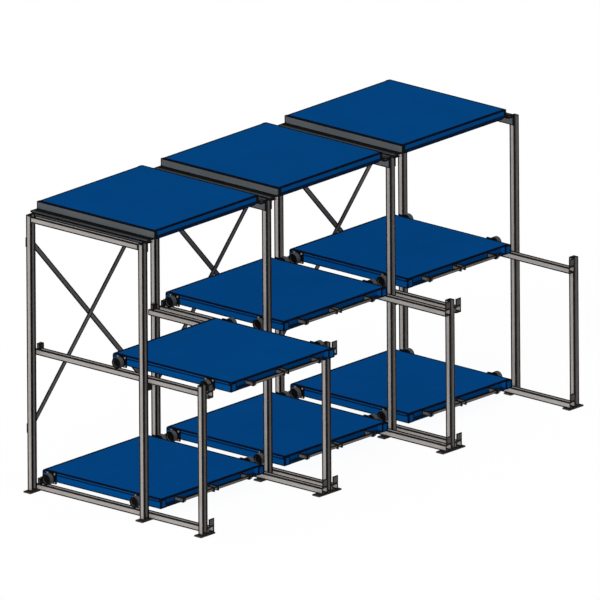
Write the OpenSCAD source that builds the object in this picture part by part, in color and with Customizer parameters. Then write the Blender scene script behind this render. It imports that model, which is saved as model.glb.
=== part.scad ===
// Mould storage rack: three bays, two levels of pull-out drawers and a shelf on top.
// All sizes in millimetres. X runs along the bays, the drawers pull out towards -Y, Z is up.
// Inside the modules the second coordinate is the depth, measured forward from the
// rear faces of the rear posts; rack_frame() turns it into Y.

/* [Layout] */
// distance between the centre planes of neighbouring side frames
bay_pitch = 1200; // [1000:10:1500]
// vertical distance between the two drawer levels
level_pitch = 905; // [600:5:1100]
// depth at which the middle posts begin
middle_post_depth = 956; // [700:2:1200]
// distance of the front posts' front faces behind the front ends of the rails
front_post_inset = 10; // [0:1:60]
// length of the rear and middle posts
tall_post_h = 1850; // [1600:5:2200]
// height of the front posts above the upper rails
front_post_rise = 55; // [20:1:120]

/* [Channel] */
// width of the grooved channel
chan_w = 50; // [40:1:70]
// height of the grooved channel
chan_h = 40; // [30:1:60]
// wall of the grooved channel
chan_t = 3; // [2:0.5:4]
// width of the groove
chan_slot = 22; // [8:1:28]
// outer corner radius of the channel
chan_r = 3; // [1:0.5:3]

/* [Foot plates] */
// thickness of the foot plates
foot_t = 10; // [6:1:16]
// margin of the foot plates in front of and behind a post
foot_margin = 10; // [4:1:20]
// reach of an end foot plate outside the post
foot_outer = 28; // [24:1:60]
// reach of a foot plate past the rail on the bay side of an end frame
foot_inner = 10; // [2:1:30]
// reach of a middle foot plate past the rails
foot_middle = 33.5; // [28:0.5:60]
// distance of the anchor holes from the end of the plate
anchor_edge = 13; // [10:0.5:18]
// spacing of the anchor holes in depth
anchor_gap = 36; // [24:1:44]
// radius of the anchor holes
anchor_r = 6; // [4:0.5:8]

/* [Rails and stops] */
// depth at which the rails begin
rail_rear = 24; // [0:1:30]
// thickness of the stop plates
stop_t = 5; // [3:1:10]
// height of the stop plates above the rails
stop_h = 57; // [40:1:80]
// clearance between a wheel and a stop or buffer at either end of the travel
stop_clear = 1; // [0.5:0.5:4]
// width of the buffer blocks
buffer_w = 40; // [24:1:46]
// length of the buffer blocks
buffer_l = 26; // [12:1:30]
// height of the buffer blocks
buffer_h = 38; // [24:1:60]

/* [Wheels] */
// wheel diameter
wheel_d = 76; // [64:1:90]
// wheel width
wheel_w = 36; // [24:1:40]
// clearance between wheel and rail
wheel_clear = 0.3; // [0.2:0.1:0.6]
// clearance between wheel and post
wheel_gap = 8; // [4:1:12]
// rounding of the wheel edges
wheel_r = 4; // [1:0.5:6]
// depth of the hub recess in the outer face
hub_depth = 8; // [5:0.5:12]
// radius of the hub recess
hub_r = 24; // [20:1:28]
// radius of the stub axles
axle_r = 10; // [7:0.5:13]
// radial running clearance of the wheel bores
axle_clear = 0.05; // [0.02:0.01:0.1]
// radius of the spacer behind a wheel and of the washer in front of it
washer_r = 17; // [15:0.5:19]
// thickness of the retaining washer
washer_t = 4; // [2:0.5:4.5]
// clearance of the wheel between spacer and washer
wheel_play = 0.5; // [0.3:0.1:0.5]
// distance between wheel and roller plate
spacer_l = 21; // [12:1:30]

/* [Roller plates] */
// side of the square roller plates
plate_w = 78; // [50:1:90]
// thickness of the roller plates
plate_t = 8; // [5:1:12]
// corner radius of the roller plates
plate_r = 5; // [1:0.5:10]

/* [Drawers] */
// depth at which a closed drawer begins
drawer_rear = 20; // [5:1:60]
// length of a drawer
drawer_l = 1010; // [900:5:1200]
// height of a drawer
drawer_h = 62; // [56:1:90]
// distance of the drawer's underside below the axles
drawer_drop = 26; // [16:1:34]
// thickness of the deck sheet
deck_t = 4; // [3:0.5:6]
// outer radius of the deck's side bends
bend_r = 13; // [8:1:24]
// width of the side tubes
tube_w = 50; // [40:1:70]
// wall of the frame members
tube_t = 4; // [2:0.5:5]
// distance of the front channel's web behind the drawer's front
recess = 41; // [32:1:60]
// setback of the channel flanges from the drawer's ends
flange_back = 2; // [1:0.5:5]
// width of the cross members
cross_w = 40; // [25:1:60]
// weld gap between the members of the frame
weld_gap = 0.2; // [0.1:0.05:0.4]
// distance of the rear axles from the drawer's rear end
axle_rear = 85; // [75:1:120]
// distance of the front axles from the drawer's front end
axle_front = 174; // [120:1:260]
// length of the drawer travel
travel = 607; // [300:1:640]

/* [Handle] */
// distance of the handle bar's axis from the front channel's web
handle_reach = 61; // [52:1:90]
// height of the handle bar's axis above the drawer's underside
handle_z = 23.5; // [22:0.5:30]
// radius of the handle bar
handle_r = 10; // [7:0.5:12]
// radial clearance of the bar in its plates
handle_fit = 0.1; // [0.05:0.05:0.3]
// height of the handle arms
arm_h = 32; // [28:1:36]
// reach of the handle plates past the bar's axis
arm_tip = 15; // [13:1:24]
// thickness of the handle arms
arm_t = 8; // [5:1:12]
// distance of the arms from the drawer's middle
arm_x = 320; // [200:5:400]
// distance of the cheek plates from the drawer's middle
cheek_x = 20; // [10:1:40]
// radius of the collars
collar_r = 20; // [17:1:26]
// width of the collars
collar_w = 16; // [8:1:24]

/* [Top shelf] */
// distance of the shelf's side edges from the frame planes
shelf_inset = 98; // [92:1:130]
// depth at which the shelf begins
shelf_rear = 2; // [0:1:20]
// thickness of the shelf's top sheet at its folded edge
shelf_t = 5; // [4:0.5:12]
// height of the shelf's front and rear walls
shelf_wall_h = 51; // [40:1:70]
// wall of the folded shelf sheet
sheet_t = 4; // [2:0.5:5]
// setback of the lower return lip behind the front wall
lip_back = 8; // [5:0.5:16]
// height of the lower return lip
lip_h = 9; // [6:0.5:16]
// width of the stiffeners under the shelf
stiffener_w = 60; // [40:1:90]
// width of the box part of the side members
side_w = 25; // [16:1:40]
// wall of the side members
side_t = 3; // [2:0.5:4]
// distance of a side member's outer lip from the frame plane
side_lip_x = 35; // [31:1:45]
// reach of the side members behind the rear posts
side_back = 13; // [0:1:16]
// height of the support angles
support_h = 60; // [40:1:100]
// width of the support angles
support_w = 50; // [40:1:64]
// thickness of the support angles
support_t = 6; // [4:1:8]
// distance of the top ties below the post tops
tie_drop = 6; // [2:1:20]

/* [Braces] */
// height of the lower brace plates' centres
brace_low = 427; // [300:1:600]
// height of the upper brace plates' centres
brace_high = 1675; // [1400:1:1700]
// width of the brace bars
brace_w = 36; // [24:1:44]
// thickness of the brace bars
brace_t = 4; // [3:0.5:6]
// distance of the brace bolts from the frame planes
brace_x = 28; // [25:1:40]
// distance of a bar's end from its bolt
brace_end = 18; // [14:1:26]
// height of the brace plates
gusset_h = 62; // [56:1:90]
// reach of the brace plates on the bay side
gusset_w = 56; // [54:1:80]
// thickness of the brace plates
gusset_t = 4; // [3:0.5:6]
// radius of the brace bolts
bolt_r = 5; // [3:0.5:6]
// clearance around the brace bolts
bolt_clear = 0.2; // [0.1:0.05:0.4]
// height of the bolt heads
bolt_head_h = 5; // [3:0.5:8]
// radius of the bolt heads and of the spacers under the falling bars
bolt_head_r = 9; // [8:0.5:12]

/* [Hidden] */
BAYS = 3;
FRAMES = [for (i = [0:BAYS]) (i - BAYS / 2) * bay_pitch];
BAY_X = [for (i = [0:BAYS - 1]) (i - (BAYS - 1) / 2) * bay_pitch];
LEVELS = ["lower", "upper"];
BAY_NAMES = ["left", "centre", "right"];
PULLED_BAY = 0;
PULLED_LEVEL = 1;
post_half = chan_w / 2;
rail_x = post_half + chan_w / 2;
rail_z = [foot_t, foot_t + level_pitch];
tall_top = foot_t + tall_post_h;
front_post_h = level_pitch + chan_h + front_post_rise;
tall_front = middle_post_depth + chan_h;
// drawer side, counted from the bay's middle outwards to the post
wheel_out = bay_pitch / 2 - post_half - wheel_gap;
wheel_in = wheel_out - wheel_w;
plate_out = wheel_in - spacer_l;
drawer_half = plate_out - plate_t;
axle_h = chan_h + wheel_clear + wheel_d / 2;
drawer_z = axle_h - drawer_drop;
drawer_front = drawer_rear + drawer_l;
front_axle_depth = drawer_front - axle_front;
rear_axle_depth = drawer_rear + axle_rear;
web_front = drawer_front - recess;
bar_depth = web_front + handle_reach;
tube_h = drawer_h - deck_t;
tube_out = drawer_half - deck_t;
tube_in = tube_out - tube_w;
frame_half = tube_in - weld_gap;
member_h = tube_h - weld_gap;
stop_depth = front_axle_depth + travel + wheel_d / 2 + stop_clear;
rail_front = stop_depth + stop_t;
post_depths = [0, middle_post_depth, rail_front - front_post_inset - chan_h];
buffer_depth = rear_axle_depth - wheel_d / 2 - stop_clear - buffer_l;
bar_left = arm_x + arm_t / 2;
bar_right = bar_left + collar_w;
// shelf
shelf_half = bay_pitch / 2 - shelf_inset;
pan_half = shelf_half - side_w;
shelf_pan_top = tall_top + lip_h + shelf_wall_h;
shelf_l = tall_front - shelf_rear;
// reach of the whole rack behind and in front of the rear posts' rear faces
back_reach = max(gusset_t + 2 * brace_t + bolt_head_h, foot_margin, side_back);
front_reach = max(bar_depth + max(collar_r, arm_tip) + travel, rail_front);
rear_y = (front_reach - back_reach) / 2;
brace_run = bay_pitch - 2 * brace_x;
brace_rise = brace_high - brace_low;
brace_angle = atan2(brace_rise, brace_run);
brace_l = sqrt(brace_run * brace_run + brace_rise * brace_rise);
$fn = 64;

BLUE = [0.0, 0.26, 0.5];
STEEL = [0.6, 0.58, 0.56];
GREY = [0.34, 0.36, 0.38];
BLACK = [0.06, 0.06, 0.07];

PIECES = ["deck", "frame", "handle_arms", "handle_bar", "roller_plates", "front_wheels", "rear_wheels"];
FIXED = ["rear_posts", "middle_posts", "front_posts", "base_plates", "lower_rails", "upper_rails",
    "rail_end_stops", "rear_buffers", "top_ties", "shelf_deck_left", "shelf_deck_centre",
    "shelf_deck_right", "shelf_side_members", "shelf_supports", "braces_rising", "braces_falling",
    "brace_gussets", "brace_bolts"];
function drawer_node(b, l, p) = str("drawer_", BAY_NAMES[b], "_", LEVELS[l], "_", p);
DRAWERS = [for (b = [0:BAYS - 1]) for (l = [0, 1]) for (p = PIECES) drawer_node(b, l, p)];

// depth to Y
module rack_frame() {
    translate([0, rear_y, 0])
        mirror([0, 1, 0])
            children();
}

// the children once on each bay-side face of the four side frames
module bay_sides() {
    for (i = [0:BAYS]) {
        if (i < BAYS) translate([FRAMES[i], 0, 0]) children();
        if (i > 0) translate([FRAMES[i], 0, 0]) mirror([1, 0, 0]) children();
    }
}

module both_sides() {
    children();
    mirror([1, 0, 0]) children();
}

// a drawn section (x, z) carried from one depth to another
module run_depth(from, to) {
    translate([0, to, 0])
        rotate([90, 0, 0])
            linear_extrude(height = to - from)
                children();
}

// a drawn section (depth, z) carried from one x to another
module run_x(from, to) {
    translate([from, 0, 0])
        rotate([90, 0, 90])
            linear_extrude(height = to - from)
                children();
}

module round_square(w, h, r) {
    translate([r, 0]) square([w - 2 * r, h]);
    translate([0, r]) square([w, h - 2 * r]);
    for (x = [r, w - r]) for (y = [r, h - r]) translate([x, y]) circle(r);
}

// rectangle from the origin with its far corner rounded
module corner_square(w, h, r) {
    square([w, h - r]);
    square([w - r, h]);
    translate([w - r, h - r]) circle(r);
}

// grooved channel, the groove on top
module channel_section() {
    difference() {
        translate([-chan_w / 2, 0]) round_square(chan_w, chan_h, chan_r);
        translate([chan_t - chan_w / 2, chan_t]) square([chan_w - 2 * chan_t, chan_h - 2 * chan_t]);
        translate([-chan_slot / 2, chan_h / 2]) square([chan_slot, chan_h]);
    }
}

module posts(depth, height) {
    color(STEEL) rack_frame()
        for (x = FRAMES)
            translate([x, depth, foot_t])
                linear_extrude(height = height)
                    channel_section();
}

module rear_posts() { posts(post_depths[0], tall_post_h); }
module middle_posts() { posts(post_depths[1], tall_post_h); }
module front_posts() { posts(post_depths[2], front_post_h); }

// foot plate from x = -left to x = right under one post
module foot_plate(left, right, hole_xs) {
    difference() {
        translate([-left, -foot_margin, 0])
            cube([left + right, chan_h + 2 * foot_margin, foot_t]);
        for (x = hole_xs)
            for (s = [-1, 1])
                translate([x, chan_h / 2 + s * anchor_gap / 2, -1])
                    cylinder(r = anchor_r, h = foot_t + 2);
    }
}

module base_plates() {
    outer = post_half + foot_outer;
    inner = post_half + chan_w + foot_inner;
    middle = post_half + chan_w + foot_middle;
    color(STEEL) rack_frame()
        for (depth = post_depths) {
            translate([FRAMES[0], depth, 0]) foot_plate(outer, inner, [anchor_edge - outer]);
            translate([FRAMES[BAYS], depth, 0]) foot_plate(inner, outer, [outer - anchor_edge]);
            for (i = [1:BAYS - 1])
                translate([FRAMES[i], depth, 0])
                    foot_plate(middle, middle, [anchor_edge - middle, middle - anchor_edge]);
        }
}

module rails(z) {
    color(STEEL) rack_frame()
        bay_sides()
            translate([rail_x, 0, z])
                run_depth(rail_rear, rail_front) channel_section();
}

module lower_rails() { rails(rail_z[0]); }
module upper_rails() { rails(rail_z[1]); }

module rail_end_stops() {
    color(STEEL) rack_frame()
        for (z = rail_z)
            bay_sides()
                translate([post_half, stop_depth, z + chan_h])
                    cube([chan_w, stop_t, stop_h]);
}

module rear_buffers() {
    color(STEEL) rack_frame()
        for (z = rail_z)
            bay_sides()
                translate([rail_x - buffer_w / 2, buffer_depth, z + chan_h])
                    cube([buffer_w, buffer_l, buffer_h]);
}

module top_ties() {
    color(STEEL) rack_frame()
        for (x = FRAMES)
            translate([x, 0, tall_top - tie_drop - chan_h])
                run_depth(chan_h, middle_post_depth) channel_section();
}

// folded pan: top sheet over the side members, walls and lower return lips
module shelf_pan() {
    translate([-shelf_half, shelf_rear, shelf_pan_top])
        cube([2 * shelf_half, shelf_l, shelf_t]);
    wall_z = tall_top + lip_h;
    for (d = [shelf_rear, tall_front - sheet_t])
        translate([-pan_half, d, wall_z])
            cube([2 * pan_half, sheet_t, shelf_wall_h]);
    for (d = [shelf_rear, tall_front - sheet_t - lip_back])
        translate([-pan_half, d, wall_z])
            cube([2 * pan_half, sheet_t + lip_back, sheet_t]);
    for (d = [shelf_rear + lip_back, tall_front - sheet_t - lip_back])
        translate([-pan_half, d, tall_top])
            cube([2 * pan_half, sheet_t, lip_h + sheet_t]);
    // stiffeners, open downwards
    for (k = [1, 2])
        translate([-pan_half, shelf_rear + k * shelf_l / 3 - stiffener_w / 2, wall_z])
            difference() {
                cube([2 * pan_half, stiffener_w, shelf_wall_h]);
                translate([-1, sheet_t, -1])
                    cube([2 * pan_half + 2, stiffener_w - 2 * sheet_t, shelf_wall_h - sheet_t + 1]);
            }
}

module shelf_deck(bay) {
    color(BLUE) rack_frame()
        translate([BAY_X[bay], 0, 0])
            shelf_pan();
}

module shelf_deck_left() { shelf_deck(0); }
module shelf_deck_centre() { shelf_deck(1); }
module shelf_deck_right() { shelf_deck(2); }

// box beside the pan, flange outwards and a lip standing on the support angle
module side_member_section() {
    base = tall_top + lip_h;
    difference() {
        translate([shelf_inset, base]) square([side_w, shelf_wall_h]);
        translate([shelf_inset + side_t, base + side_t])
            square([side_w - 2 * side_t, shelf_wall_h - 2 * side_t]);
    }
    translate([side_lip_x, base]) square([shelf_inset - side_lip_x, side_t]);
    translate([side_lip_x, tall_top]) square([side_t, lip_h + side_t]);
}

module shelf_side_members() {
    color(GREY) rack_frame()
        bay_sides() {
            run_depth(-side_back, tall_front) side_member_section();
            // closed front end of the box
            translate([shelf_inset, tall_front - side_t, tall_top + lip_h])
                cube([side_w, side_t, shelf_wall_h]);
        }
}

module shelf_supports() {
    color(GREY) rack_frame()
        bay_sides()
            run_depth(0, tall_front) {
                translate([post_half, tall_top - support_h]) square([support_t, support_h]);
                translate([post_half, tall_top - support_t]) square([support_w, support_t]);
            }
}

// flat bar centred on the bay, rising to the right by the brace angle
module brace_bar(layer, angle) {
    translate([0, -gusset_t - (layer + 1) * brace_t, (brace_low + brace_high) / 2])
        rotate([0, -angle, 0])
            difference() {
                translate([-brace_l / 2 - brace_end, 0, -brace_w / 2])
                    cube([brace_l + 2 * brace_end, brace_t, brace_w]);
                for (s = [-1, 1])
                    translate([s * brace_l / 2, -1, 0])
                        rotate([-90, 0, 0])
                            cylinder(r = bolt_r + bolt_clear, h = brace_t + 2);
            }
}

module braces_rising() {
    color(STEEL) rack_frame()
        for (x = BAY_X)
            translate([x, 0, 0]) brace_bar(0, brace_angle);
}

module braces_falling() {
    color(STEEL) rack_frame()
        for (x = BAY_X)
            translate([x, 0, 0]) brace_bar(1, -brace_angle);
}

module gusset(left, right, bolt_xs) {
    difference() {
        translate([-left, -gusset_t, -gusset_h / 2])
            cube([left + right, gusset_t, gusset_h]);
        for (x = bolt_xs)
            translate([x, -gusset_t - 1, 0])
                rotate([-90, 0, 0])
                    cylinder(r = bolt_r + bolt_clear, h = gusset_t + 2);
    }
}

module brace_gussets() {
    color(STEEL) rack_frame()
        for (z = [brace_low, brace_high]) {
            translate([FRAMES[0], 0, z]) gusset(post_half, gusset_w, [brace_x]);
            translate([FRAMES[BAYS], 0, z]) gusset(gusset_w, post_half, [-brace_x]);
            for (i = [1:BAYS - 1])
                translate([FRAMES[i], 0, z]) gusset(gusset_w, gusset_w, [-brace_x, brace_x]);
        }
}

// bolt through the plate and the bar of the given layer, with a spacer under the outer bar
module brace_bolt(layer) {
    under_head = gusset_t + (layer + 1) * brace_t;
    translate([0, -under_head - bolt_head_h, 0])
        rotate([-90, 0, 0])
            cylinder(r = bolt_head_r, h = bolt_head_h, $fn = 6);
    translate([0, -under_head, 0])
        rotate([-90, 0, 0])
            cylinder(r = bolt_r, h = under_head);
    if (layer > 0)
        translate([0, -gusset_t - layer * brace_t, 0])
            rotate([-90, 0, 0])
                cylinder(r = bolt_head_r, h = layer * brace_t);
}

module brace_bolts() {
    color(STEEL) rack_frame()
        for (x = BAY_X)
            for (s = [-1, 1]) {
                translate([x + s * brace_run / 2, 0, (brace_low + brace_high + s * brace_rise) / 2])
                    brace_bolt(0);
                translate([x + s * brace_run / 2, 0, (brace_low + brace_high - s * brace_rise) / 2])
                    brace_bolt(1);
            }
}

// a drawer's own frame: x from the bay's middle, depth of the closed drawer, z from the rail's underside
module drawer_place(bay, level) {
    out = bay == PULLED_BAY && level == PULLED_LEVEL ? travel : 0;
    rack_frame()
        translate([BAY_X[bay], out, rail_z[level]])
            children();
}

// deck sheet folded down along both sides
module deck_section() {
    difference() {
        both_sides() translate([0, drawer_z]) corner_square(drawer_half, drawer_h, bend_r);
        both_sides() translate([0, drawer_z - 1]) corner_square(tube_out, tube_h + 1, bend_r - deck_t);
    }
}

module deck(bay, level) {
    color(BLUE) drawer_place(bay, level)
        run_depth(drawer_rear, drawer_front) deck_section();
}

// side tube, closed at the front
module side_tube() {
    difference() {
        translate([tube_in, 0, drawer_z])
            run_depth(drawer_rear, drawer_front) corner_square(tube_w, tube_h, bend_r);
        translate([tube_in + tube_t, 0, drawer_z + tube_t])
            run_depth(drawer_rear - 1, drawer_front - tube_t)
                corner_square(tube_w - 2 * tube_t, tube_h - 2 * tube_t, bend_r - tube_t);
    }
}

// channel across the drawer: web towards the middle, flanges towards the end
module end_channel_section(reach) {
    difference() {
        square([reach, member_h]);
        translate([tube_t, tube_t]) square([reach, member_h - 2 * tube_t]);
    }
}

module frame(bay, level) {
    color(BLUE) drawer_place(bay, level) {
        both_sides() side_tube();
        translate([0, web_front - tube_t, drawer_z])
            run_x(-frame_half, frame_half) end_channel_section(recess + tube_t - flange_back);
        translate([0, drawer_rear + recess, drawer_z])
            mirror([0, 1, 0])
                run_x(-frame_half, frame_half) end_channel_section(recess - flange_back);
        for (k = [1, 2])
            translate([0, drawer_rear + k * drawer_l / 3 - cross_w / 2, drawer_z])
                run_x(-frame_half, frame_half)
                    difference() {
                        square([cross_w, member_h]);
                        translate([tube_t, tube_t]) square([cross_w - 2 * tube_t, member_h - 2 * tube_t]);
                    }
    }
}

// plate standing on the web, with the bar through its free end
module handle_plate() {
    translate([-arm_t / 2, 0, drawer_z + handle_z])
        run_x(0, arm_t)
            difference() {
                translate([web_front, -arm_h / 2]) square([handle_reach + arm_tip, arm_h]);
                translate([bar_depth, 0]) circle(handle_r + handle_fit);
            }
}

module handle_arms(bay, level) {
    color(GREY) drawer_place(bay, level)
        for (x = [-arm_x, -cheek_x, cheek_x, arm_x])
            translate([x, 0, 0]) handle_plate();
}

module collar() {
    run_x(0, collar_w)
        difference() {
            circle(collar_r);
            circle(handle_r + handle_fit);
        }
}

// the bar and its two collars, each on the right-hand side of an arm
module handle_bar(bay, level) {
    color(STEEL) drawer_place(bay, level)
        translate([0, bar_depth, drawer_z + handle_z]) {
            run_x(-bar_left, bar_right) circle(handle_r);
            translate([-arm_x + arm_t / 2, 0, 0]) collar();
            translate([arm_x + arm_t / 2, 0, 0]) collar();
        }
}

// plate, spacer, stub axle and retaining washer about the axle's axis
module roller_plate() {
    hub_face = wheel_out - hub_depth;
    run_x(drawer_half, plate_out)
        translate([-plate_w / 2, -plate_w / 2]) round_square(plate_w, plate_w, plate_r);
    run_x(plate_out, wheel_in - wheel_play) circle(washer_r);
    run_x(wheel_in - wheel_play, hub_face + wheel_play) circle(axle_r);
    run_x(hub_face + wheel_play, hub_face + wheel_play + washer_t) circle(washer_r);
}

module roller_plates(bay, level) {
    color(BLACK) drawer_place(bay, level)
        for (d = [rear_axle_depth, front_axle_depth])
            both_sides() translate([0, d, axle_h]) roller_plate();
}

// half section of a wheel: radius across, width up
module wheel_section() {
    bore = axle_r + axle_clear;
    difference() {
        translate([bore, 0]) square([wheel_d / 2 - bore, wheel_w]);
        translate([bore - 1, wheel_w - hub_depth]) square([hub_r - bore + 1, hub_depth + 1]);
        for (z = [0, wheel_w - wheel_r])
            translate([wheel_d / 2 - wheel_r, z]) square([wheel_r + 1, wheel_r]);
    }
    for (z = [wheel_r, wheel_w - wheel_r])
        translate([wheel_d / 2 - wheel_r, z]) circle(wheel_r);
}

module wheels(bay, level, depth) {
    color(BLACK) drawer_place(bay, level)
        both_sides()
            translate([wheel_in, depth, axle_h])
                rotate([0, 90, 0])
                    rotate_extrude() wheel_section();
}

module front_wheels(bay, level) { wheels(bay, level, front_axle_depth); }
module rear_wheels(bay, level) { wheels(bay, level, rear_axle_depth); }

module drawer_piece(piece, bay, level) {
    if (piece == "deck") deck(bay, level);
    if (piece == "frame") frame(bay, level);
    if (piece == "handle_arms") handle_arms(bay, level);
    if (piece == "handle_bar") handle_bar(bay, level);
    if (piece == "roller_plates") roller_plates(bay, level);
    if (piece == "front_wheels") front_wheels(bay, level);
    if (piece == "rear_wheels") rear_wheels(bay, level);
}

rear_posts();
middle_posts();
front_posts();
base_plates();
lower_rails();
upper_rails();
rail_end_stops();
rear_buffers();
top_ties();
shelf_deck_left();
shelf_deck_centre();
shelf_deck_right();
shelf_side_members();
shelf_supports();
braces_rising();
braces_falling();
brace_gussets();
brace_bolts();
for (b = [0:BAYS - 1])
    for (l = [0, 1])
        for (p = PIECES)
            drawer_piece(p, b, l);
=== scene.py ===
"""Looks of the mould storage rack: finishes, small fasteners, welds, light and camera."""

from collections import namedtuple
from functools import reduce
import math

import bmesh
import bpy
from mathutils import Matrix, Vector


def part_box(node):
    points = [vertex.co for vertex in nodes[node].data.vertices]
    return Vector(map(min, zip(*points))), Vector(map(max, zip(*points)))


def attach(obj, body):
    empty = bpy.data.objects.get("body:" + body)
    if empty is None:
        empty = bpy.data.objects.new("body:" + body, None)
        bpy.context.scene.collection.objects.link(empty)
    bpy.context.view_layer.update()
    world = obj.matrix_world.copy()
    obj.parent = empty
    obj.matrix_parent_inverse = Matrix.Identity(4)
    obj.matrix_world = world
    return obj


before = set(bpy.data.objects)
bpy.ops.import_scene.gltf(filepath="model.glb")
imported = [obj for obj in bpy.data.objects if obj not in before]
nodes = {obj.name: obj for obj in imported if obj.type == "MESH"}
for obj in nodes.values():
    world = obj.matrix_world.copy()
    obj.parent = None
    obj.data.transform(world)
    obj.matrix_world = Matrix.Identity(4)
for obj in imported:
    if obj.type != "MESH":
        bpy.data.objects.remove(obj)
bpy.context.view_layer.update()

BAYS = ("left", "centre", "right")
LEVELS = ("lower", "upper")
DRAWERS = [f"drawer_{bay}_{level}" for bay in BAYS for level in LEVELS]
MM = 0.001

# Side frames: the channel that the posts and rails are made of, and the distance between frames
CHANNEL_W = 50 * MM
CHANNEL_WALL = 3 * MM
FIRST_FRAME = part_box("rear_posts")[0].x + CHANNEL_W / 2
BAY_PITCH = -2 * FIRST_FRAME / len(BAYS)

# Camera, as the photograph was taken: a parallel view from the front left, a little from above
VIEW_AZIMUTH = math.radians(48.51)
VIEW_ELEVATION = math.radians(17.43)
VIEW_ROLL = math.radians(0.372)
VIEW_WIDTH = 3.8434
VIEW_RIGHT = 0.5445
VIEW_UP = 0.8079
VIEW_DISTANCE = 12.0
VIEW_END = 100.0


def make_camera():
    ca, sa = math.cos(VIEW_AZIMUTH), math.sin(VIEW_AZIMUTH)
    ce, se = math.cos(VIEW_ELEVATION), math.sin(VIEW_ELEVATION)
    right = Vector((ca, -sa, 0.0))
    up = Vector((sa * se, ca * se, ce))
    back = right.cross(up)
    target = Vector((0.0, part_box("rear_posts")[1].y, 0.0)) + right * VIEW_RIGHT + up * VIEW_UP
    roll = Matrix.Rotation(-VIEW_ROLL, 3, back)
    axes = Matrix((roll @ right, roll @ up, back)).transposed().to_4x4()
    data = bpy.data.cameras.new("photo_camera")
    data.type = "ORTHO"
    data.ortho_scale = VIEW_WIDTH
    data.clip_end = VIEW_END
    camera = bpy.data.objects.new("photo_camera", data)
    camera.matrix_world = Matrix.Translation(target + back * VIEW_DISTANCE) @ axes
    bpy.context.scene.collection.objects.link(camera)
    bpy.context.scene.camera = camera


# Shader helpers


def new_material(name):
    material = bpy.data.materials.new(name)
    material.use_nodes = True
    tree = material.node_tree
    return material, tree, tree.nodes["Principled BSDF"]


def add(tree, kind, links=None, **settings):
    """A node with its properties set, and its inputs set to values or linked to sockets."""
    made = tree.nodes.new(kind)
    for key, value in settings.items():
        setattr(made, key, value)
    for key, value in (links or {}).items():
        if isinstance(value, bpy.types.NodeSocket):
            tree.links.new(value, made.inputs[key])
        else:
            made.inputs[key].default_value = value
    return made


def object_coords(tree):
    return add(tree, "ShaderNodeTexCoord").outputs["Object"]


def noise(tree, coords, scale, stretch=(1, 1, 1), detail=4.0):
    mapped = add(tree, "ShaderNodeMapping", {"Vector": coords, "Scale": stretch})
    return add(tree, "ShaderNodeTexNoise",
               {"Vector": mapped.outputs[0], "Scale": scale, "Detail": detail}).outputs["Fac"]


def remap(tree, value, low, high, new_low=0.0, new_high=1.0):
    return add(tree, "ShaderNodeMapRange",
               {"Value": value, "From Min": low, "From Max": high,
                "To Min": new_low, "To Max": new_high}).outputs[0]


# Sockets of a mix node that is set to colours
MIX_FACTOR, MIX_A, MIX_B, MIX_RESULT = 0, 6, 7, 2


def mix_colour(tree, factor, a, b):
    links = {MIX_FACTOR: factor, MIX_A: a, MIX_B: b}
    return add(tree, "ShaderNodeMix", links, data_type="RGBA").outputs[MIX_RESULT]


def math_node(tree, operation, *values):
    return add(tree, "ShaderNodeMath", dict(enumerate(values)), operation=operation).outputs[0]


def vector_node(tree, operation, *values):
    return add(tree, "ShaderNodeVectorMath", dict(enumerate(values)), operation=operation).outputs


def highest(tree, values):
    """The largest of several values."""
    return reduce(lambda a, b: math_node(tree, "MAXIMUM", a, b), values)


def normal_part(tree, axis):
    """Component of the surface normal along an axis of the object: -1 to 1."""
    normal = add(tree, "ShaderNodeTexCoord").outputs["Normal"]
    return add(tree, "ShaderNodeSeparateXYZ", {0: normal}).outputs[axis]


def facing(tree, axis):
    """How squarely a surface faces along an axis of the object, either way: 0 to 1."""
    return math_node(tree, "ABSOLUTE", normal_part(tree, axis))


def srgb(r, g, b):
    """A colour given in 0 to 255 screen steps, as linear light."""
    def linear(c):
        c /= 255.0
        return c / 12.92 if c <= 0.04045 else ((c + 0.055) / 1.055) ** 2.4
    return (linear(r), linear(g), linear(b), 1.0)


# Painted dark edge lines, with all lengths in millimetres. An Along edge runs along a node's depth, and an
# End edge runs across both of its ends, each at a height above the node's foot or below its top. Such a line
# is wide on a level face and tall on a wall. Upright lines follow corners: they reach along X, and along Y
# from the front and from the rear face. Distances across are from the nearest frame plane where a rule is
# framed, and otherwise inwards from the node's own sides. The inside of a channel section is darkened as
# painted shade, by the rule's share.
UPRIGHT_X = 9
UPRIGHT_Y = 8
Along = namedtuple("Along", "across base height wide tall strength", defaults=(15, 7, 1.0))
End = namedtuple("End", "base height wide tall strength", defaults=(14, 7, 1.0))
Edges = namedtuple("Edges", "along ends uprights framed upright_x upright_y hollow",
                   defaults=(True, UPRIGHT_X, (UPRIGHT_Y, UPRIGHT_Y), 0.0))
FOOT_AND_TOP = (End("foot", 0), End("top", 0))
POST_EDGES = Edges((Along(25, "foot", 0), Along(25, "top", 0)), FOOT_AND_TOP, (25,),
                   upright_x=14, upright_y=(6, 12), hollow=0.66)
TIE_EDGES = Edges((Along(25, "foot", 0, tall=9.5), Along(25, "top", 0)), FOOT_AND_TOP, (25,))
RAIL_EDGES = Edges((Along(25, "foot", 0, tall=9.5), Along(25, "top", 0),
                    Along(75, "foot", 0, tall=9.5), Along(75, "top", 0)), FOOT_AND_TOP, (25, 75))
STOP_EDGES = Edges((), (End("foot", 0, tall=14), End("foot", 57), End("top", 57, tall=14), End("top", 0)),
                   (25, 75))
BUFFER_EDGES = Edges((Along(30, "foot", 38, wide=6), Along(70, "foot", 38, wide=6),
                      Along(30, "top", 0, wide=6), Along(70, "top", 0, wide=6)),
                     (End("foot", 0), End("foot", 38, wide=6), End("top", 38), End("top", 0, wide=6)),
                     (30, 70))
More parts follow.
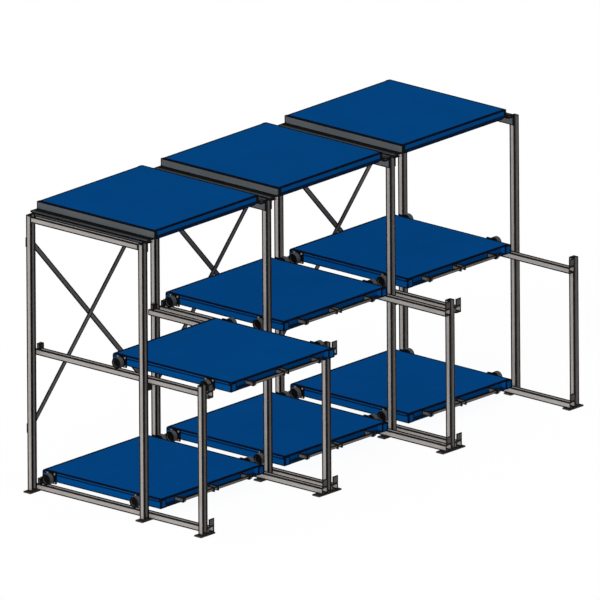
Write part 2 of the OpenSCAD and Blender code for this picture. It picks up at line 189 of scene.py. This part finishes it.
SIDE_MEMBER_EDGES = Edges((Along(98, "top", 0, tall=5.5), Along(98, "foot", 12, wide=48, tall=2),
                           Along(42, "foot", 12, wide=10, tall=2, strength=0.55),
                           Along(35, "foot", 0, wide=4, tall=8)),
                          (End("foot", 12),), (98, 123), upright_x=13)
SUPPORT_EDGES = Edges((Along(25, "foot", 0), Along(31, "foot", 0), Along(75, "top", 0), Along(75, "top", 6),
                       Along(30, "top", 0, wide=6, tall=2)), FOOT_AND_TOP, (25, 31, 75))
SHELF_EDGES = Edges((Along(0, "top", 0, wide=16),),
                    (End("top", 0, wide=16, tall=10), End("foot", 15, tall=15, strength=0.9)),
                    (0,), framed=False)
DECK_EDGES = Edges((Along(13, "top", 0, wide=13, tall=5),
                    Along(0, "top", 14.5, wide=3, tall=5.5, strength=0.85), Along(0, "foot", 0)),
                   (End("top", 0, wide=20, tall=12), End("foot", 0)), (0,), framed=False)
FRAME_EDGES = Edges((Along(0, "foot", 0),),
                    (End("foot", 0, wide=42, tall=10, strength=0.9), End("top", 0, wide=42, tall=8)),
                    (0, 50), framed=False)
ARM_EDGES = Edges((Along(0, "foot", 0), Along(0, "top", 0), Along(308, "foot", 0), Along(308, "top", 0)),
                  FOOT_AND_TOP, (0, 8, 300, 308), framed=False, upright_x=4)


def near(tree, value, places, half):
    """1 where a coordinate is within half a width, in millimetres, of any of the places, else 0."""
    return highest(tree, [math_node(tree, "COMPARE", value, place, half * MM) for place in places])


def edge_lines(tree, name, rule):
    """1 along a node's edges, and 0 away from them."""
    low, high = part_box(name)
    faces = (low.y, high.y)
    x, y, z = add(tree, "ShaderNodeSeparateXYZ", {0: object_coords(tree)}).outputs
    if rule.framed:
        shifted = math_node(tree, "SUBTRACT", x, FIRST_FRAME)
        x = math_node(tree, "ABSOLUTE", math_node(tree, "WRAP", shifted, BAY_PITCH / 2, -BAY_PITCH / 2))

    def across(a):
        return (a * MM,) if rule.framed else (low.x + a * MM, high.x - a * MM)

    def line(hit, edge):
        height = low.z + edge.height * MM if edge.base == "foot" else high.z - edge.height * MM
        level = math_node(tree, "MULTIPLY", hit, near(tree, z, (height,), edge.tall))
        return math_node(tree, "MULTIPLY", level, edge.strength)

    lines = [line(near(tree, x, across(edge.across), edge.wide), edge) for edge in rule.along]
    lines += [line(near(tree, y, faces, edge.wide), edge) for edge in rule.ends]
    for place in rule.uprights:
        reach = [near(tree, y, (face,), half) for face, half in zip(faces, rule.upright_y)]
        corner = near(tree, x, across(place), rule.upright_x)
        lines.append(math_node(tree, "MULTIPLY", corner, highest(tree, reach)))
    # Painted shade inside the channel, by the rule's given share
    if rule.hollow:
        inner_w, inner_d = CHANNEL_W - CHANNEL_WALL, high.y - low.y - CHANNEL_WALL
        inside = math_node(tree, "MULTIPLY", near(tree, x, (0.0,), inner_w / 2 / MM),
                           near(tree, y, (sum(faces) / 2,), inner_d / 2 / MM))
        lines.append(math_node(tree, "MULTIPLY", inside, rule.hollow))
    return highest(tree, lines)


# Brace bars: half their width, and the width of the dark line along each edge
BRACE_HALF = 18 * MM
BRACE_LINE = 8 * MM


def brace_lines(tree, name, rising):
    """1 along both edges of the slanting bars, which cross in the middle of each bay."""
    low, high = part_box(name)
    x, _, z = add(tree, "ShaderNodeSeparateXYZ", {0: object_coords(tree)}).outputs
    x = math_node(tree, "WRAP", x, BAY_PITCH / 2, -BAY_PITCH / 2)
    z = math_node(tree, "SUBTRACT", z, (low.z + high.z) / 2)
    # The bars reach past their bolts by half their width, and the box holds these ends too.
    ends = 2 * BRACE_HALF * math.sqrt(2)
    slope = math.atan2(high.z - low.z - ends, high.x - low.x - (len(BAYS) - 1) * BAY_PITCH - ends)
    along = math_node(tree, "MULTIPLY", x, -math.sin(slope) if rising else math.sin(slope))
    away = math_node(tree, "ADD", along, math_node(tree, "MULTIPLY", z, math.cos(slope)))
    return math_node(tree, "GREATER_THAN", math_node(tree, "ABSOLUTE", away), BRACE_HALF - BRACE_LINE)


# Edges found from the shape itself: the radius looked at, and how much of the face's own direction is left
# where a dark edge begins and where it is full
EDGE_RADIUS = 4 * MM
WHEEL_EDGE_RADIUS = 3 * MM
EDGE_SAMPLES = 8
EDGE_BEGINS = 0.985
EDGE_FULL = 0.90


# Inner corners count as sharp edges here too, and their darkening is painted shade
def rounded_edges(tree, radius):
    """1 along the sharp edges of a piece, and 0 away from them."""
    rounded = add(tree, "ShaderNodeBevel", {"Radius": radius}, samples=EDGE_SAMPLES).outputs[0]
    flat = add(tree, "ShaderNodeNewGeometry").outputs["Normal"]
    aligned = vector_node(tree, "DOT_PRODUCT", rounded, flat)["Value"]
    return remap(tree, aligned, EDGE_BEGINS, EDGE_FULL)


# Dark edges: their colour and usual strength, the least share of it where the lines are patchy, and added
# roughness
EDGE_DARK = (0.003, 0.003, 0.0035, 1.0)
EDGE_STRENGTH = 0.97
EDGE_LEAST = 0.85
EDGE_ROUGHER = 0.15
EDGE_PATCH_SCALE = 40.0


def finish_material(tree, bsdf, colour, roughness, height, strength, edge, edge_strength):
    """Joins colour, roughness and bump to the shader and darkens the edges, a little unevenly; where the
    edges lie in inner corners and hollows, this darkening is painted shade.
    """
    patchiness = noise(tree, object_coords(tree), EDGE_PATCH_SCALE)
    uneven = remap(tree, patchiness, 0.2, 0.45, EDGE_LEAST * edge_strength, edge_strength)
    edge_lines_and_shade = math_node(tree, "MULTIPLY", edge, uneven)
    tree.links.new(mix_colour(tree, edge_lines_and_shade, colour, EDGE_DARK), bsdf.inputs["Base Color"])
    tree.links.new(math_node(tree, "ADD", roughness, math_node(tree, "MULTIPLY", edge_lines_and_shade, EDGE_ROUGHER)),
                   bsdf.inputs["Roughness"])
    bump = add(tree, "ShaderNodeBump", {"Height": height, "Strength": strength, "Distance": MM})
    tree.links.new(bump.outputs[0], bsdf.inputs["Normal"])


# Steel: streaks along the member, tones of the streaks and clouds, and the tone of painted shade with its
# share on the front faces, on those of the braces, and on level faces
GRAIN = {"x": (1, 60, 60), "y": (60, 1, 60), "z": (60, 60, 1)}
STEEL_LIGHT = (169, 164, 160)
STEEL_DARK = (142, 137, 133)
STEEL_CLOUD = (112, 106, 101)
STEEL_SHADE_TONE = (30, 28, 28)
FRONT_SHADE = 0.83
BRACE_FRONT_SHADE = 0.70
LEVEL_SHADE = 0.80
STEEL_METAL = 0.25
STEEL_SPECULAR = 0.1
STEEL_BUMP = 0.12
PLATE_LIGHT = (62, 60, 58)
PLATE_DARK = (40, 38, 37)
WELD_LIGHT = (120, 114, 110)
WELD_DARK = (84, 80, 78)


def steel(name, along, edge_of=None, light=STEEL_LIGHT, dark=STEEL_DARK, front_shade=FRONT_SHADE):
    """Rolled steel: streaks along the member, cloudy tone, painted shade darkening level and front faces."""
    material, tree, bsdf = new_material(name)
    coords = object_coords(tree)
    streak = noise(tree, coords, 9.0, GRAIN[along], 6.0)
    cloud = noise(tree, coords, 6.0, detail=5.0)
    tone = mix_colour(tree, remap(tree, streak, 0.3, 0.7), srgb(*dark), srgb(*light))
    tone = mix_colour(tree, remap(tree, cloud, 0.35, 0.75, 0.0, 0.25), tone, srgb(*STEEL_CLOUD))
    uneven = remap(tree, cloud, 0.3, 0.7, -0.1, 0.1)
    # Painted shade: scale is the share of a dark tone laid on faces that look forward or are level, with a
    # slightly uneven border
    forward = math_node(tree, "SUBTRACT", uneven, normal_part(tree, "Y"))
    level = math_node(tree, "ADD", facing(tree, "Z"), uneven)
    scale = highest(tree, [remap(tree, forward, 0.5, 0.9, 0.0, front_shade),
                           remap(tree, level, 0.5, 0.9, 0.0, LEVEL_SHADE)])
    tone = mix_colour(tree, scale, tone, srgb(*STEEL_SHADE_TONE))
    rough = remap(tree, streak, 0.2, 0.8, 0.36, 0.54)
    bsdf.inputs["Metallic"].default_value = STEEL_METAL
    bsdf.inputs["Specular IOR Level"].default_value = STEEL_SPECULAR
    edge = edge_of(tree) if edge_of else rounded_edges(tree, EDGE_RADIUS)
    finish_material(tree, bsdf, tone, rough, streak, STEEL_BUMP, edge, EDGE_STRENGTH)
    return material


# Paints: each has a colour, a patchy second tone and the tone of its scuffs
BLUE = ((0, 66, 126), (0, 64, 122), (8, 80, 142))
GREY = ((84, 87, 90), (76, 79, 82), (112, 114, 116))
BLACK = ((13, 13, 14), (9, 9, 10), (40, 40, 42))
BLACK_EDGE = 0.5
SCUFF_SHARE = 0.03
PAINT_SMOOTH = 0.36
PAINT_ROUGH = 0.54
PAINT_SPECULAR = 0.004
PAINT_BUMP = 0.10


def paint(name, colour, patch, scuff, edge_of=None, edge_strength=EDGE_STRENGTH):
    """Powder coat: fine orange peel, slightly uneven tone, faint rubbed scuffs."""
    material, tree, bsdf = new_material(name)
    coords = object_coords(tree)
    peel = noise(tree, coords, 420.0, detail=2.0)
    cloud = noise(tree, coords, 3.0, detail=6.0)
    rubbed = noise(tree, coords, 7.0, (0.6, 6.0, 1.0), 8.0)
    tone = mix_colour(tree, remap(tree, cloud, 0.35, 0.7), srgb(*colour), srgb(*patch))
    tone = mix_colour(tree, remap(tree, rubbed, 0.60, 0.85, 0.0, SCUFF_SHARE), tone, srgb(*scuff))
    rough = remap(tree, rubbed, 0.3, 0.8, PAINT_SMOOTH, PAINT_ROUGH)
    bsdf.inputs["Specular IOR Level"].default_value = PAINT_SPECULAR
    edge = edge_of(tree) if edge_of else rounded_edges(tree, EDGE_RADIUS)
    finish_material(tree, bsdf, tone, rough, peel, PAINT_BUMP, edge, edge_strength)
    return material


# Wheels
WHEEL_FACE = (8, 8, 9)
WHEEL_TREAD_HIGHLIGHT = (70, 73, 75)
WHEEL_DUST = (40, 39, 38)
WHEEL_SPECULAR = 0.05
WHEEL_BUMP = 0.2
WHEEL_EDGE = 0.9


def wheel_plastic(name):
    """Moulded plastic: black faces, a lighter tread that is a painted highlight, fine grain and a little
    pale dust.
    """
    material, tree, bsdf = new_material(name)
    coords = object_coords(tree)
    grain = noise(tree, coords, 300.0, detail=3.0)
    dust_and_shade = noise(tree, coords, 25.0, detail=6.0)
    # Painted highlight: the tread, which does not face along X, is lighter than the black side faces
    tone = mix_colour(tree, remap(tree, facing(tree, "X"), 0.3, 0.7), srgb(*WHEEL_TREAD_HIGHLIGHT), srgb(*WHEEL_FACE))
    tone = mix_colour(tree, remap(tree, dust_and_shade, 0.5, 0.85, 0.0, 0.2), tone, srgb(*WHEEL_DUST))
    rough = remap(tree, dust_and_shade, 0.3, 0.8, 0.5, 0.65)
    bsdf.inputs["Specular IOR Level"].default_value = WHEEL_SPECULAR
    finish_material(tree, bsdf, tone, rough, grain, WHEEL_BUMP, rounded_edges(tree, WHEEL_EDGE_RADIUS),
                    WHEEL_EDGE)
    return material


# Handle bar, with the radius, as a share of the collars' diameter, at which the collars take over from it
BAR_LIGHT = (148, 141, 134)
BAR_DARK = (118, 112, 106)
BAR_SHADE = (14, 13, 13)
COLLAR_BLACK = (12, 12, 13)
COLLAR_FROM = 0.255
COLLAR_FULL = 0.265
BAR_METAL = 0.8
BAR_BUMP = 0.08
BAR_EDGE = 0.6


def handle_steel(name):
    """Drawn bar, darkened above and below as painted shade, which leaves a painted highlight along its
    front; the collars, which stand clear of the bar's radius, are black."""
    material, tree, bsdf = new_material(name)
    box = add(tree, "ShaderNodeTexCoord").outputs["Generated"]
    centred = vector_node(tree, "SUBTRACT", box, (0.5, 0.5, 0.5))[0]
    across = vector_node(tree, "MULTIPLY", centred, (0.0, 1.0, 1.0))[0]
    radius = vector_node(tree, "LENGTH", across)["Value"]
    collar = remap(tree, radius, COLLAR_FROM, COLLAR_FULL)
    drawn = noise(tree, object_coords(tree), 12.0, (60, 1, 1), 4.0)
    tone = mix_colour(tree, remap(tree, drawn, 0.3, 0.7), srgb(*BAR_DARK), srgb(*BAR_LIGHT))
    # Painted shade on the upper and under sides of the bar, so that its front reads as a painted highlight
    rise = normal_part(tree, "Z")
    dust_and_shade = highest(tree, [remap(tree, rise, 0.50, 0.72), remap(tree, rise, -0.02, -0.22)])
    tone = mix_colour(tree, dust_and_shade, tone, srgb(*BAR_SHADE))
    tone = mix_colour(tree, collar, tone, srgb(*COLLAR_BLACK))
    rough = remap(tree, drawn, 0.2, 0.8, 0.3, 0.45)
    metal = math_node(tree, "SUBTRACT", BAR_METAL, math_node(tree, "MULTIPLY", collar, BAR_METAL))
    tree.links.new(metal, bsdf.inputs["Metallic"])
    finish_material(tree, bsdf, tone, rough, drawn, BAR_BUMP, rounded_edges(tree, EDGE_RADIUS), BAR_EDGE)
    return material


def set_material(obj, material):
    obj.data.materials.clear()
    obj.data.materials.append(material)


STEEL_NODES = {
    "rear_posts": ("z", POST_EDGES), "middle_posts": ("z", POST_EDGES), "front_posts": ("z", POST_EDGES),
    "lower_rails": ("y", RAIL_EDGES), "upper_rails": ("y", RAIL_EDGES), "top_ties": ("y", TIE_EDGES),
    "rail_end_stops": ("x", STOP_EDGES),
}


def lined(name, rule):
    """The dark edges of one node, to be added to its finish."""
    return lambda tree: edge_lines(tree, name, rule)


def slanting(name, rising):
    """The dark edges of the bars of one brace node."""
    return lambda tree: brace_lines(tree, name, rising)


def dress_nodes():
    for name, (along, rule) in STEEL_NODES.items():
        set_material(nodes[name], steel(f"steel_{name}", along, lined(name, rule)))
    plate = steel("steel_plate", "x", light=PLATE_LIGHT, dark=PLATE_DARK)
    for name in ("base_plates", "brace_gussets", "brace_bolts"):
        set_material(nodes[name], plate)
    blocks = steel("steel_rear_buffers", "x", lined("rear_buffers", BUFFER_EDGES), PLATE_LIGHT, PLATE_DARK)
    set_material(nodes["rear_buffers"], blocks)
    for name, rising in (("braces_rising", True), ("braces_falling", False)):
        bars = steel(f"steel_{name}", "x", slanting(name, rising), front_shade=BRACE_FRONT_SHADE)
        set_material(nodes[name], bars)
    for name, rule in (("shelf_side_members", SIDE_MEMBER_EDGES), ("shelf_supports", SUPPORT_EDGES)):
        set_material(nodes[name], paint(f"grey_{name}", *GREY, lined(name, rule)))
    for bay in BAYS:
        name = f"shelf_deck_{bay}"
        set_material(nodes[name], paint(f"blue_{name}", *BLUE, lined(name, SHELF_EDGES)))
    black = paint("black_paint", *BLACK, edge_strength=BLACK_EDGE)
    wheel = wheel_plastic("wheel_plastic")
    bar = handle_steel("handle_steel")
    for drawer in DRAWERS:
        for piece, colours, rule in (("deck", BLUE, DECK_EDGES), ("frame", BLUE, FRAME_EDGES),
                                     ("handle_arms", GREY, ARM_EDGES)):
            name = f"{drawer}_{piece}"
            set_material(nodes[name], paint(f"paint_{name}", *colours, lined(name, rule)))
        set_material(nodes[f"{drawer}_handle_bar"], bar)
        set_material(nodes[f"{drawer}_roller_plates"], black)
        set_material(nodes[f"{drawer}_front_wheels"], wheel)
        set_material(nodes[f"{drawer}_rear_wheels"], wheel)


# Fasteners and welds


def finish_piece(bm, name, body, material):
    """Turns built geometry into a piece that rides on a body."""
    bmesh.ops.recalc_face_normals(bm, faces=bm.faces)
    mesh = bpy.data.meshes.new(name)
    bm.to_mesh(mesh)
    bm.free()
    piece = bpy.data.objects.new(name, mesh)
    bpy.context.scene.collection.objects.link(piece)
    set_material(piece, material)
    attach(piece, body)


def loft(bm, rings):
    """Closed solid through rings of points, each ring with the same count."""
    made = [[bm.verts.new(point) for point in ring] for ring in rings]
    count = len(made[0])
    for lower, upper in zip(made, made[1:]):
        for i in range(count):
            j = (i + 1) % count
            bm.faces.new((lower[i], lower[j], upper[j], upper[i]))
    bm.faces.new(made[0][::-1])
    bm.faces.new(made[-1])


def turned(bm, place, profile, sides):
    """Closed solid about the local Z axis of a placing matrix: profile is (height, radius) pairs."""
    angles = [2 * math.pi * k / sides for k in range(sides)]
    loft(bm, [[place @ Vector((r * math.cos(a), r * math.sin(a), h)) for a in angles] for h, r in profile])


# Hexagon bolt: radius over the corners, height of the head, its chamfer, and the flange under it, which is
# straight up to its shoulder and then narrows to its top
BOLT_R = 7.5 * MM
BOLT_H = 5 * MM
BOLT_CHAMFER = 1.2 * MM
BOLT_SIDES = 6
FLANGE_R = 8 * MM
FLANGE_TOP_R = 7.68 * MM
FLANGE_T = 1.2 * MM
FLANGE_SHOULDER = 0.84 * MM
FLANGE_SIDES = 24


def bolt(bm, place):
    """Hexagon head on a thin round flange."""
    turned(bm, place, [(0, FLANGE_R), (FLANGE_SHOULDER, FLANGE_R), (FLANGE_T, FLANGE_TOP_R)], FLANGE_SIDES)
    turned(bm, place @ Matrix.Translation((0, 0, FLANGE_T)),
           [(0, BOLT_R), (BOLT_H - BOLT_CHAMFER, BOLT_R), (BOLT_H, BOLT_R - BOLT_CHAMFER)], BOLT_SIDES)


def standing_on_x(x, y, z, side):
    """Placing matrix for a piece that stands on a face looking along X, to the given side."""
    return Matrix.Translation((x, y, z)) @ Matrix.Rotation(side * math.pi / 2, 4, "Y")


# Roller plates: thickness, and distance of the bolts from the axle along both sides
PLATE_T = 8 * MM
PLATE_BOLT = 29.5 * MM


def roller_bolts(drawer, material):
    """Four bolts on each roller plate."""
    bm = bmesh.new()
    deck_low, deck_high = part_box(f"{drawer}_deck")
    for pair in ("front_wheels", "rear_wheels"):
        low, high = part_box(f"{drawer}_{pair}")
        y, z = (low.y + high.y) / 2, (low.z + high.z) / 2
        for side, face in ((-1, deck_low.x - PLATE_T), (1, deck_high.x + PLATE_T)):
            for dy in (-PLATE_BOLT, PLATE_BOLT):
                for dz in (-PLATE_BOLT, PLATE_BOLT):
                    bolt(bm, standing_on_x(face, y + dy, z + dz, side))
    finish_piece(bm, f"{drawer}_roller_bolts", drawer, material)


# Distance from a frame plane to the middle of a rail, which lies against the posts
RAIL_MIDDLE = CHANNEL_W


def frame_planes():
    """X of each side frame, with the sides on which it has a bay."""
    count = len(BAYS) + 1
    for i in range(count):
        sides = [side for side in (-1, 1) if 0 <= i + (side - 1) // 2 < count - 1]
        yield FIRST_FRAME + i * BAY_PITCH, sides


def buffer_bolts(material):
    """One bolt on top of each rear buffer block."""
    bm = bmesh.new()
    low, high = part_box("rear_buffers")
    level_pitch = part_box("upper_rails")[0].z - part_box("lower_rails")[0].z
    for x, sides in frame_planes():
        for side in sides:
            for z in (high.z - level_pitch, high.z):
                bolt(bm, Matrix.Translation((x + side * RAIL_MIDDLE, (low.y + high.y) / 2, z)))
    finish_piece(bm, "buffer_bolts", "rack", material)


# Fillet welds: leg, length of a ripple, shares of the leg at the ends, in the hollows of the ripples and at
# the bulge, and the two ends of a weld on a channel's lip, from the middle of the channel
WELD_LEG = 4.5 * MM
WELD_STEP = 3 * MM
WELD_FEWEST = 4
WELD_END = 0.45
WELD_HOLLOW = 0.88
WELD_BULGE = 0.62
WELD_OUTER = 22 * MM
WELD_INNER = 12 * MM
UP = Vector((0, 0, 1))
FORWARD = Vector((0, -1, 0))
BACKWARD = Vector((0, 1, 0))


def weld(bm, start, end, out):
    """Rippled fillet in the corner between a level face, which it covers outwards, and an upright face."""
    start, end = Vector(start), Vector(end)
    count = max(WELD_FEWEST, round((end - start).length / WELD_STEP))
    rings = []
    for k in range(count + 1):
        ripple = 1.0 if k % 2 else WELD_HOLLOW
        leg = WELD_LEG * (WELD_END if k in (0, count) else ripple)
        corner = start.lerp(end, k / count)
        rings.append([corner, corner + out * leg, corner + (out + UP) * leg * WELD_BULGE, corner + UP * leg])
    loft(bm, rings)


def lip_welds(bm, middle, y, z, out):
    """Fillets on the two lips of a channel."""
    for side in (-1, 1):
        weld(bm, (middle + side * WELD_OUTER, y, z), (middle + side * WELD_INNER, y, z), out)


def rack_welds(material):
    """Fillets at the feet of the posts, on the closed rear face and on both lips of the front face,
    and across the foot of each stop plate."""
    bm = bmesh.new()
    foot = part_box("base_plates")[1].z
    for name in ("rear_posts", "middle_posts", "front_posts"):
        low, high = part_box(name)
        for x, _ in frame_planes():
            weld(bm, (x - WELD_OUTER, high.y, foot), (x + WELD_OUTER, high.y, foot), BACKWARD)
            lip_welds(bm, x, low.y, foot, FORWARD)
    stop_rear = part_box("rail_end_stops")[1].y
    for rails in ("lower_rails", "upper_rails"):
        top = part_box(rails)[1].z
        for x, sides in frame_planes():
            for side in sides:
                lip_welds(bm, x + side * RAIL_MIDDLE, stop_rear, top, BACKWARD)
    finish_piece(bm, "rack_welds", "rack", material)


def make_fasteners():
    bright = steel("steel_fastener", "x")
    for drawer in DRAWERS:
        roller_bolts(drawer, bright)
    buffer_bolts(bright)
    rack_welds(steel("steel_weld", "x", light=WELD_LIGHT, dark=WELD_DARK))


# Floor: half its size, its place just under the feet, and how far it shows as plain white instead of lit
FLOOR_HALF = 40.0
FLOOR_Z = -0.5 * MM
FLOOR_GREY = 0.8
FLOOR_ROUGHNESS = 0.9
FLOOR_WHITE = 0.75
WHITE = (1, 1, 1, 1)


def make_stage():
    mesh = bpy.data.meshes.new("floor")
    corners = [(x * FLOOR_HALF, y * FLOOR_HALF, 0) for x, y in ((-1, -1), (1, -1), (1, 1), (-1, 1))]
    mesh.from_pydata(corners, [], [(0, 1, 2, 3)])
    floor = bpy.data.objects.new("floor", mesh)
    floor.location.z = FLOOR_Z
    bpy.context.scene.collection.objects.link(floor)
    material, tree, bsdf = new_material("floor_white")
    bsdf.inputs["Base Color"].default_value = (FLOOR_GREY, FLOOR_GREY, FLOOR_GREY, 1.0)
    bsdf.inputs["Roughness"].default_value = FLOOR_ROUGHNESS
    matt = add(tree, "ShaderNodeBsdfDiffuse", {"Color": WHITE})
    white = add(tree, "ShaderNodeEmission", {"Color": WHITE, "Strength": 1.0})
    shown = add(tree, "ShaderNodeMixShader", {0: FLOOR_WHITE, 1: matt.outputs[0], 2: white.outputs[0]})
    path = add(tree, "ShaderNodeLightPath").outputs
    seen = highest(tree, [path["Is Camera Ray"], path["Is Glossy Ray"], path["Is Transmission Ray"]])
    final = add(tree, "ShaderNodeMixShader", {0: seen, 1: bsdf.outputs[0], 2: shown.outputs[0]})
    tree.links.new(final.outputs[0], tree.nodes["Material Output"].inputs["Surface"])
    set_material(floor, material)


# Lamps far away: the direction towards each, its strength, and the angle in degrees over which it is soft.
# One that casts no shadow leaves no glare either.
Lamp = namedtuple("Lamp", "name direction strength softness shadow", defaults=(False,))
LAMPS = (
    Lamp("key", (-0.80, -0.12, 0.58), 0.25, 30.0, shadow=True),
    Lamp("fill", (-0.80, -0.12, 0.58), 3.15, 30.0),
    Lamp("overhead", (0.0, 0.0, 1.0), 0.7, 30.0),
    Lamp("front", (0.0, -1.0, 0.1), 0.78, 30.0),
    Lamp("rear", (0.75, 0.66, -0.05), 2.0, 4.0),
)
WORLD_STRENGTH = 0.12


def make_light():
    world = bpy.data.worlds.new("studio")
    bpy.context.scene.world = world
    world.use_nodes = True
    background = world.node_tree.nodes["Background"]
    background.inputs["Color"].default_value = WHITE
    background.inputs["Strength"].default_value = WORLD_STRENGTH
    for lamp in LAMPS:
        data = bpy.data.lights.new(lamp.name, "SUN")
        data.energy = lamp.strength
        data.use_shadow = lamp.shadow
        data.angle = math.radians(lamp.softness)
        sun = bpy.data.objects.new(lamp.name, data)
        sun.visible_glossy = lamp.shadow
        sun.rotation_mode = "QUATERNION"
        sun.rotation_quaternion = Vector(lamp.direction).to_track_quat("Z", "Y")
        bpy.context.scene.collection.objects.link(sun)
    bpy.context.scene.view_settings.view_transform = "Standard"


make_camera()
dress_nodes()
make_fasteners()
make_stage()
make_light()
